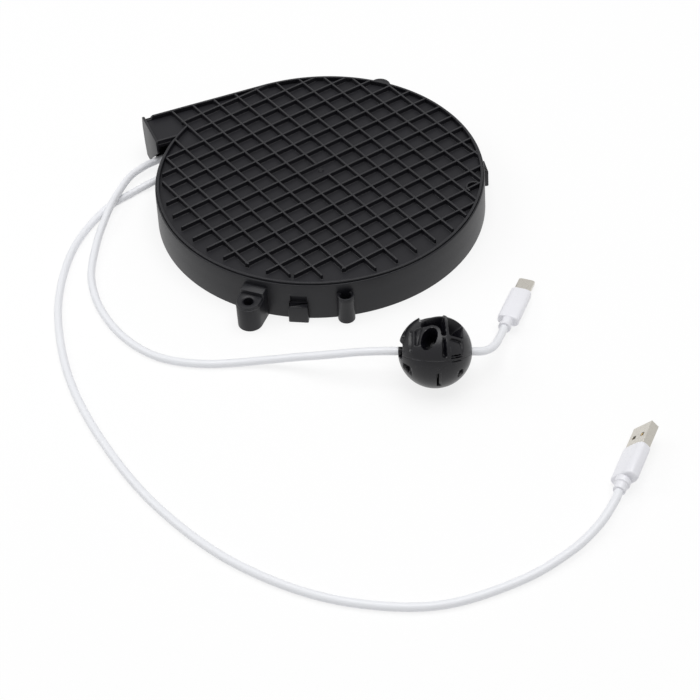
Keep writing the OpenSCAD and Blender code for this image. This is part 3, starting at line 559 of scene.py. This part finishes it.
# Cable and lead
# Round white cable, 4 mm thick with a smooth soft sheath. The pull-out cable comes off the drum
# and carries the ball stop. The fixed lead comes out of a slot in the wall.
def smooth_path(points, steps):
    """A smooth line through the points: each stretch is a cubic whose slope at both ends is half
    the chord between the neighbours, cut into the given number of steps."""
    p = np.asarray(points, float) * MM
    p = np.vstack([2 * p[0] - p[1], p, 2 * p[-1] - p[-2]])
    t = (np.arange(steps) / steps)[None, :, None]
    a, b, c, d = (p[k:len(p) - 3 + k, None, :] for k in range(4))
    line = b + t * (c - a) / 2 + t**2 * (2 * a - 5 * b + 4 * c - d) / 2
    line += t**3 * (3 * b - a - 3 * c + d) / 2
    return np.vstack([line.reshape(-1, 3), p[-2]])


def cable_curve(name, line, diameter):
    """A round cable as a curve of one open spline through the line's points."""
    data = bpy.data.curves.new(name, "CURVE")
    data.dimensions = "3D"
    data.bevel_depth = diameter / 2
    data.bevel_resolution = 6
    data.use_fill_caps = True
    spline = data.splines.new("POLY")
    spline.points.add(len(line) - 1)
    spline.points.foreach_set("co", np.column_stack([line, np.ones(len(line))]).ravel())
    spline.use_smooth = True
    obj = bpy.data.objects.new(name, data)
    bpy.context.collection.objects.link(obj)
    return obj


sheath = moulded("white_sheath", (0.83, 0.84, 0.87), 0.34, grain=1500, depth=0.01, vary=0.03)
cable_d = 4 * MM
retract_line = smooth_path([
    (-20, 65, 9.4), (-38, 65.6, 9.4), (-55, 66.4, 7.6), (-72, 67.2, 5.2), (-81, 64.6, 5),
    (-89, 59.4, 5.4), (-98, 49, 6.2), (-105, 39.8, 6.4), (-111.5, 30.6, 5.2), (-118, 21, 3.2),
    (-125.5, 6, 2.1), (-130, -7, 2), (-132, -22, 2), (-131.5, -36, 2), (-128.8, -50, 2),
    (-123.6, -63.5, 2), (-116.4, -74.6, 2), (-107, -83, 2), (-95, -90, 2), (-82.5, -95, 2.2),
    (-72, -99.5, 3.4), (-63.4, -104.4, 5.6), (-55.2, -110, 8.6), (-47.2, -116.3, 12),
    (-39, -121.8, 14.8), (-30.4, -126.4, 16.6), (-21.6, -130.7, 17.4), (-12.4, -135, 17.5),
    (1.8, -141.6, 17.5), (16.6, -148.4, 17.5), (23.5, -150.2, 16.6), (30, -147.2, 14.4),
    (37.7, -138.7, 10.3), (42.3, -133.6, 9.2)], 6)
retractable = cable_curve("pull_out_cable", retract_line, cable_d)
fit(retractable, sheath, "retractable_cable")

lead_line = smooth_path([
    (-50, 60, 4.2), (-59, 57.8, 4.2), (-68, 55.4, 4.2), (-78, 53, 3.2), (-90, 50.4, 2),
    (-109, 42.2, 2), (-132, 19.6, 2), (-149, -13.6, 2), (-157.4, -48.7, 2), (-159.6, -83, 2),
    (-155.6, -122, 2), (-146, -162, 2), (-128.6, -201, 2), (-105, -232, 2), (-79, -252.6, 2),
    (-50, -265.2, 2), (-16, -267.2, 2.4), (10, -263, 3.8), (27, -256.6, 5.8), (39.1, -248.5, 6.8),
    (43.5, -244.4, 7)], 10)
lead = cable_curve("fixed_lead_sheath", lead_line, cable_d)
fit(lead, sheath, "fixed_lead")


# Ball stop
# Two moulded halves in black plastic, clamped round the cable so that it stops at the mouth. The
# upper half is cored out between webs, with a ring boss in front. The lower half has three
# pockets and a slit. A turn is an angle round the cable, from the front upwards.
ball_at = np.array([1.8, -141.6, 17.5])
ball_turn = -24.8
ball_roll = -30
ball_r = 17.5
pocket_deep = 7.6
back_deep = 3
end_flat = 15.2
web_half = 0.62
arc_web_turn = 40
back_web_turn = 130
low_web_turn = 38.6
cap_at = 13.1
pocket_edge = 0.6
ring_x = -2.7
ring_turn = 36
ring_slant = 0.24
ring_half = (5.2, 6.9)
ring_scale = 5.8
bore_half = (3.7, 5.6)
bore_scale = 4.2
bore_deep = 10
slit_from = 6.8
slit_to = 13.2
slit_w = 0.8
sleeve_room = 3.45
sleeve_half = 5.1


def least(*distances):
    """The least of some distances, rounded off where two of them meet: a pair a, b gives
    (a + b - sqrt((a - b)^2 + 0.6^2)) / 2."""
    low = distances[0]
    for other in distances[1:]:
        low = (low + other - np.sqrt((low - other)**2 + 0.36)) / 2
    return low


def upper_depth(x, t, arc, z):
    """How deep the upper half is cut at x along the cable and t degrees round it. Each pocket is
    its depth times a ramp of the distance inside its edges, and arc is the mm to a degree."""
    web_x = 5.95 - 0.022 * (t - arc_web_turn)
    top_web = 81 + 1.4 * x
    v = (t - ring_turn) * arc
    u = x - ring_x - ring_slant * v
    off_ring = (np.hypot(u / ring_half[0], v / ring_half[1]) - 1) * ring_scale
    above = (t - arc_web_turn) * arc - web_half
    below = (top_web - t) * arc - web_half
    behind = (t - top_web) * arc - web_half
    left_low = (t - 57 + 17 * ramp(x + 2, 4)) * arc
    behind_web = least(x - web_x - web_half, cap_at - x, above, below)
    depth = pocket_deep * ramp(behind_web, pocket_edge)
    front = least(x + 6.9, web_x - web_half - x, left_low, below, off_ring)
    depth = np.maximum(depth, pocket_deep * ramp(front, pocket_edge))
    for low, high, start in ((-12.6, -8.9, 106), (-7.6, web_x - web_half, 0),
                             (web_x + web_half, cap_at, 0)):
        near = least(x - low, high - x, behind, (back_web_turn - t) * arc - web_half,
                     (t - start) * arc)
        far = least(x - low, high - x, (t - back_web_turn) * arc - web_half, (173 - t) * arc)
        depth = np.maximum(depth, back_deep * ramp(np.maximum(near, far), 0.45))
    flank = np.clip((0.053 * (t - 27) - 6.6 - x) / 2, 0, 1) * ramp(x + 9.6, 0.4)
    flank = flank * ramp((t - 24) * arc, 0.8) * ramp((58 - t) * arc, 0.8)
    hollow = least(x + 12.6, -10.35 - x, (t - 15 + 2.2 * (x + 12.6)) * arc, (62 - t) * arc)
    notch = least(x + 16.4, -14.1 - x, (t - 42) * arc, (100 - t) * arc)
    apron = least(x - 3.1, web_x - web_half - x, (t - 4) * arc, (low_web_turn - t) * arc, off_ring)
    side = least(x - web_x - web_half, cap_at - x, (low_web_turn - t) * arc)
    rise = np.clip((t - 10) / 26, 0, 1)
    depth = np.maximum(depth, 1.1 * flank)
    depth = np.maximum(depth, 1.1 * ramp(hollow, 0.9))
    depth = np.maximum(depth, 2.2 * ramp(notch, 0.5))
    depth = np.maximum(depth, np.maximum(2.4 * ramp(apron, 1.1), 1.3 * rise * ramp(side, 0.45)))
    for low in (0.45, 1.5):
        slit = least(x - slit_from, slit_to - x, z - low, low + slit_w - z, 80 - t)
        depth = np.maximum(depth, 1.5 * ramp(slit + 0.1, 0.3))
    bore = (1 - np.hypot(u / bore_half[0], v / bore_half[1])) * bore_scale
    return np.maximum(depth, bore_deep * ramp(bore, 0.7))


def lower_depth(x, t, arc, z):
    """How deep the lower half is cut. Each pocket also rises as a slope to one side."""
    left = least(x + 15.2, -10.6 - x, (t - 318) * arc, (342 - t) * arc)
    slot = least(x - 0.7, 3.2 - x, (t - 306) * arc, (339.5 - t) * arc)
    right = least(x - 10.4, 13.4 - x, (t - 313) * arc, (333 - t) * arc)
    slit = least(x - slit_from, slit_to - x, -0.45 - z, z + 1.2, t - 280)
    left_slope = np.maximum(3.2 * ramp(-12.6 - x, 0.5), -0.55 * (x + 10.3))
    slot_slope = np.maximum(2.8 * ramp(2.1 - x, 0.4), 0.5 * (3.4 - x))
    right_slope = np.maximum(2.4 * ramp(x - 12, 0.5), 0.5 * (x - 10.2))
    depth = np.minimum(3.2 * ramp(left, 0.5), np.maximum(left_slope, 0))
    depth = np.maximum(depth, np.minimum(2.8 * ramp(slot, 0.4), np.maximum(slot_slope, 0)))
    depth = np.maximum(depth, np.minimum(2.4 * ramp(right, 0.5), np.maximum(right_slope, 0)))
    return np.maximum(depth, 1.2 * ramp(slit + 0.1, 0.3))


def ball_half(name, first, depth_at):
    """One half as sections along the cable. Each runs round outside from the first turn through
    180 degrees at the radius ball_r less the depth, and back along the bore."""
    t = first + np.concatenate([[0, 0.4, 0.8], np.linspace(1.4, 178.6, 226), [179.2, 179.6, 180]])
    polar = np.radians(np.linspace(8.6, 171.4, 214))[:, None]
    x = ball_r * np.cos(polar)
    round_r = ball_r * np.sin(polar)
    turn = np.radians(t)
    z = round_r * np.sin(turn)
    depth = depth_at(x, t[None, :], round_r * math.pi / 180, z) * ramp(round_r - 4.6, 1.2)
    depth = np.maximum(depth, 0.16 * (1 - ramp(np.abs(z), 0.3)))
    flat = np.maximum(ball_r - end_flat * ball_r / np.maximum(-x, end_flat), 0)
    depth = np.maximum(depth, flat * ramp(5.4 - z, 0.5) * ramp(z + 1.9, 0.5))
    rho = ball_r - depth
    side = rho * np.sin(polar)
    outer = np.stack([rho * np.cos(polar), -side * np.cos(turn), side * np.sin(turn)], -1)
    back = np.radians(first + np.linspace(180, 0, 19))
    bore = np.where(np.abs(x) < sleeve_half, sleeve_room, 2.15)
    inner = np.stack([np.broadcast_to(x, (len(x), 19)), -bore * np.cos(back),
                      bore * np.sin(back)], -1)
    points = np.concatenate([outer, inner], 1)
    c, s = math.cos(math.radians(ball_roll)), math.sin(math.radians(ball_roll))
    points = points @ np.array([[1, 0, 0], [0, c, -s], [0, s, c]]).T
    return solid(name, [placed(points, ball_turn) + ball_at], crease=38)


ball_black = moulded("ball_black", (0.004, 0.0038, 0.006), 0.3, grain=1300, depth=0.02, cloud=90,
                     vary=0.2, shine=0.4)
ball_pieces = [ball_half("ball_upper", 0, upper_depth), ball_half("ball_lower", 180, lower_depth)]
for half, node in zip(ball_pieces, ("ball_upper_half", "ball_lower_half")):
    fit(half, ball_black, node)


# Oval plug
# The small plug for the phone: a white overmould with a stepped collar round the cable, and a
# drawn, nickel-plated steel tube with a rolled lip. The black core inside holds its contacts.
oblong_sides = 72


def section(w, h, power):
    """A rounded oblong of width w and height h: |2y / w|^power + |2z / h|^power = 1."""
    phi = np.radians(np.arange(oblong_sides) * 360 / oblong_sides)
    c, s = np.cos(phi), np.sin(phi)
    return np.stack([np.sign(c) * np.abs(c)**(2 / power) * w / 2,
                     np.sign(s) * np.abs(s)**(2 / power) * h / 2], -1)


def drawn(stations):
    """Oblong sections set along X: each station is its place, width, height and power."""
    return np.stack([np.column_stack([np.full(oblong_sides, x), section(w, h, power)])
                     for x, w, h, power in stations])


def aimed(points, at, roll, pitch, turn):
    """Points turned about X by roll, about Y by pitch and about Z by turn, then moved to at."""
    r, p, t = (math.radians(v) for v in (roll, pitch, turn))
    about_x = np.array([[1, 0, 0], [0, math.cos(r), -math.sin(r)], [0, math.sin(r), math.cos(r)]])
    about_y = np.array([[math.cos(p), 0, math.sin(p)], [0, 1, 0], [-math.sin(p), 0, math.cos(p)]])
    about_z = np.array([[math.cos(t), -math.sin(t), 0], [math.sin(t), math.cos(t), 0], [0, 0, 1]])
    return points @ (about_z @ about_y @ about_x).T + np.asarray(at)


def metal(name, colour, rough, fine=700, stretch=(1, 1, 1), vary=0.08):
    """A plated metal: fine scratches in the roughness and the bump, stretched along the part."""
    material = bpy.data.materials.new(name)
    material.use_nodes = True
    tree = material.node_tree
    shader = tree.nodes["Principled BSDF"]
    shader.inputs["Metallic"].default_value = 1
    place = tree.nodes.new("ShaderNodeTexCoord").outputs["Object"]
    scale = tree.nodes.new("ShaderNodeMapping")
    scale.inputs["Scale"].default_value = stretch
    tree.links.new(place, scale.inputs["Vector"])
    noise = tree.nodes.new("ShaderNodeTexNoise")
    noise.inputs["Scale"].default_value = fine
    noise.inputs["Detail"].default_value = 6
    tree.links.new(scale.outputs[0], noise.inputs["Vector"])
    dark = [c * (1 - vary) for c in colour]
    shade = mix(tree, "MIX", noise.outputs[0], (*dark, 1), (*colour, 1))
    tree.links.new(shade, shader.inputs["Base Color"])
    spread = tree.nodes.new("ShaderNodeMapRange")
    spread.inputs["To Min"].default_value = max(0.05, rough - 0.1)
    spread.inputs["To Max"].default_value = rough + 0.1
    tree.links.new(noise.outputs[0], spread.inputs[0])
    tree.links.new(spread.outputs[0], shader.inputs["Roughness"])
    bump = tree.nodes.new("ShaderNodeBump")
    bump.inputs["Strength"].default_value = 0.2
    bump.inputs["Distance"].default_value = 0.01 * MM
    tree.links.new(noise.outputs[0], bump.inputs["Height"])
    tree.links.new(bump.outputs[0], shader.inputs["Normal"])
    return material


oval_at = (42.3, -133.6, 9.2)
oval_aim = (0, 10, 48)
oval_w = 10.6
oval_h = 6
oval_tube_w = 8.34
oval_tube_h = 2.56
oval_sheet = 0.3
oval_power = 4
overmould = moulded("white_overmould", (0.83, 0.83, 0.87), 0.3, grain=1300, depth=0.01, vary=0.03)
nickel = metal("nickel", (0.70, 0.67, 0.61), 0.3)
oval_body = aimed(drawn([
    (0, 5.2, 5.2, 2), (0.08, 5.8, 5.8, 2), (0.35, 6.2, 6.2, 2), (2.1, 6.2, 6.2, 2),
    (2.35, 6.0, 6.0, 2), (2.45, 5.3, 5.3, 2), (6.1, 5.2, 5.2, 2), (6.4, 5.5, 5.3, 2.2),
    (6.5, 8.8, 4.6, 2.8), (6.6, 9.7, 5.3, 3), (6.9, 10.3, 5.8, 3.3), (7.5, oval_w, oval_h, 3.5),
    (20, oval_w, oval_h, 3.5), (32, 10.5, 5.95, 3.5), (32.6, 10.2, 5.7, 3.4), (32.9, 9.8, 5.3, 3.3),
    (33, 9.2, 4.7, 3.2)]), oval_at, *oval_aim)
oval_overmould = solid("oval_plug_overmould", [oval_body], crease=50)
fit(oval_overmould, overmould, "oval_plug_body")
tube = [(28, 0), (43.7, 0), (43.95, 0.04), (44.15, 0.14), (44.2, 0.2), (44.1, 0.28),
        (43.9, oval_sheet), (28, oval_sheet)]
oval_tube = drawn([(x, oval_tube_w - 2 * d, oval_tube_h - 2 * d, oval_power) for x, d in tube])
oval_shell = solid("oval_plug_tube", [aimed(oval_tube, oval_at, *oval_aim)], loop=True)
fit(oval_shell, nickel, "oval_plug_shell")


# Flat plug
# The larger plug for the charger: a white overmould with a stepped collar, a folded tube of
# nickel-plated sheet steel with latch holes, a white tongue and four gilded contact strips.
flat_at = (43.5, -244.4, 7)
flat_aim = (-50, 0, 43)
flat_w = 14.4
flat_h = 7.4
folded_edge = 0.14
flat_body = aimed(drawn([
    (0, 5.0, 5.0, 2), (0.1, 5.6, 5.6, 2), (0.35, 5.8, 5.8, 2), (3.6, 5.8, 5.8, 2),
    (3.8, 6.2, 6.2, 2), (3.95, 6.9, 6.9, 2), (4.2, 7.2, 7.2, 2), (6.9, 7.2, 7.2, 2.05),
    (7, 12.6, 6.2, 2.9), (7.1, 13.4, 6.7, 3), (7.4, 14.1, 7.2, 3.1), (8, flat_w, flat_h, 3.2),
    (17, flat_w, flat_h, 3.2), (25, 14.3, 7.3, 3.3), (25.9, 14, 7.05, 3.4), (26.3, 13.5, 6.6, 3.5),
    (26.5, 12.9, 6, 3.6)]), flat_at, *flat_aim)
flat_overmould = solid("flat_plug_overmould", [flat_body], crease=50)
fit(flat_overmould, overmould, "flat_plug_body")


def softened(name, node, width, segments=2):
    """A copy of a CAD node's mesh, with its split vertices joined, its flat areas merged and its
    edges rounded by a bevel of the width, in mm."""
    mesh = nodes[node].data.copy()
    mesh.name = name
    mesh.materials.clear()
    shape = bmesh.new()
    shape.from_mesh(mesh)
    bmesh.ops.remove_doubles(shape, verts=shape.verts, dist=2e-6)
    bmesh.ops.dissolve_limit(shape, angle_limit=math.radians(0.5), verts=shape.verts,
                             edges=shape.edges)
    shape.to_mesh(mesh)
    shape.free()
    mesh.polygons.foreach_set("use_smooth", [True] * len(mesh.polygons))
    mesh.set_sharp_from_angle(angle=math.radians(30))
    obj = bpy.data.objects.new(name, mesh)
    bpy.context.collection.objects.link(obj)
    bevel = obj.modifiers.new("edges", "BEVEL")
    bevel.width = width * MM
    bevel.segments = segments
    bevel.limit_method = "ANGLE"
    bevel.angle_limit = math.radians(32)
    bevel.use_clamp_overlap = True
    return obj


flat_shell = softened("flat_plug_tube", "flat_plug_shell", folded_edge)
fit(flat_shell, nickel, "flat_plug_shell")


# Parts inside
# The drum, its flanges and cover in grey moulded plastic, the mainspring and spindle in steel,
# the contact board in green laminate with gilded rings, and the clamp and wires of the lead.
inner_black = moulded("inner_black", (0.03, 0.03, 0.032), 0.55)
drum_grey = moulded("drum_grey", (0.06, 0.06, 0.065), 0.5, vary=0.1)
washer_white = moulded("washer_white", (0.62, 0.58, 0.48), 0.4, vary=0.06)
laminate = moulded("laminate", (0.02, 0.13, 0.06), 0.35, grain=2500, vary=0.2, coat=0.4)
tongue_white = moulded("tongue_white", (0.80, 0.80, 0.77), 0.4, vary=0.03)
core_black = moulded("core_black", (0.012, 0.012, 0.012), 0.5)
wire_red = moulded("wire_red", (0.42, 0.03, 0.02), 0.4)
zinc = metal("zinc_steel", (0.55, 0.55, 0.57), 0.38)
blued = metal("blued_strip", (0.34, 0.36, 0.40), 0.32, stretch=(1, 1, 0.1))
gold = metal("contact_gold", (0.85, 0.60, 0.24), 0.28)
for material, names in (
        (inner_black, ("base_cover", "brush_block", "lead_clamp")),
        (drum_grey, ("cable_drum", "drum_cover")),
        (washer_white, ("thrust_washer",)),
        (laminate, ("contact_board",)),
        (tongue_white, ("flat_plug_tongue",)),
        (core_black, ("oval_plug_core",)),
        (wire_red, ("lead_wires",)),
        (sheath, ("wound_cable",)),
        (zinc, ("cover_screws", "spindle", "clamp_screw", "drum_screws", "stop_sleeve")),
        (blued, ("mainspring", "retaining_clip")),
        (gold, ("contact_brushes", "contact_rings", "flat_plug_contacts"))):
    for name in names:
        nodes[name].data.materials.clear()
        nodes[name].data.materials.append(material)


# Floor, backdrop and light
# A white table top in a white room. Seen directly or in a reflection both are mostly plain
# white, and the table keeps a faint shadow under the object.
def background_ray(tree):
    """1 where a ray comes straight from the camera, or off a glossy or clear surface."""
    path = tree.nodes.new("ShaderNodeLightPath")
    either = tree.nodes.new("ShaderNodeMath")
    either.operation = "MAXIMUM"
    seen = tree.nodes.new("ShaderNodeMath")
    seen.operation = "MAXIMUM"
    tree.links.new(path.outputs["Is Glossy Ray"], either.inputs[0])
    tree.links.new(path.outputs["Is Transmission Ray"], either.inputs[1])
    tree.links.new(path.outputs["Is Camera Ray"], seen.inputs[0])
    tree.links.new(either.outputs[0], seen.inputs[1])
    return seen.outputs[0]


white = bpy.data.materials.new("white_table")
white.use_nodes = True
tree = white.node_tree
matt = tree.nodes["Principled BSDF"]
matt.inputs["Base Color"].default_value = (0.95, 0.95, 0.95, 1)
matt.inputs["Roughness"].default_value = 0.9
plain = tree.nodes.new("ShaderNodeEmission")
share = tree.nodes.new("ShaderNodeMath")
share.operation = "MULTIPLY"
share.inputs[1].default_value = 0.8
blend = tree.nodes.new("ShaderNodeMixShader")
tree.links.new(background_ray(tree), share.inputs[0])
tree.links.new(share.outputs[0], blend.inputs[0])
tree.links.new(matt.outputs[0], blend.inputs[1])
tree.links.new(plain.outputs[0], blend.inputs[2])
tree.links.new(blend.outputs[0], tree.nodes["Material Output"].inputs["Surface"])
floor_data = bpy.data.meshes.new("table_top")
floor_data.from_pydata([(-9, -9, 0), (9, -9, 0), (9, 9, 0), (-9, 9, 0)], [], [(0, 1, 2, 3)])
floor_data.materials.append(white)
floor = bpy.data.objects.new("table_top", floor_data)
bpy.context.collection.objects.link(floor)

world = bpy.data.worlds.new("studio")
bpy.context.scene.world = world
world.use_nodes = True
tree = world.node_tree
level = tree.nodes.new("ShaderNodeMapRange")
level.inputs["To Min"].default_value = 0.4
level.inputs["To Max"].default_value = 0.75
tree.links.new(background_ray(tree), level.inputs[0])
tree.links.new(level.outputs[0], tree.nodes["Background"].inputs[1])
tree.nodes["Background"].inputs[0].default_value = (1, 1, 1, 1)


def lamp(name, at, aim, size, power):
    """A square soft light at a place, aimed at a point."""
    data = bpy.data.lights.new(name, "AREA")
    data.size = size
    data.energy = power
    obj = bpy.data.objects.new(name, data)
    obj.location = at
    obj.rotation_euler = (Vector(aim) - Vector(at)).to_track_quat("-Z", "Y").to_euler()
    bpy.context.collection.objects.link(obj)


lamp("top_softbox", (0.15, -0.05, 1.5), (0, 0, 0), 1.2, 14)
lamp("left_softbox", (-1.0, 0.5, 1.2), (0, 0, 0), 0.8, 5)
bpy.context.scene.view_settings.view_transform = "Standard"
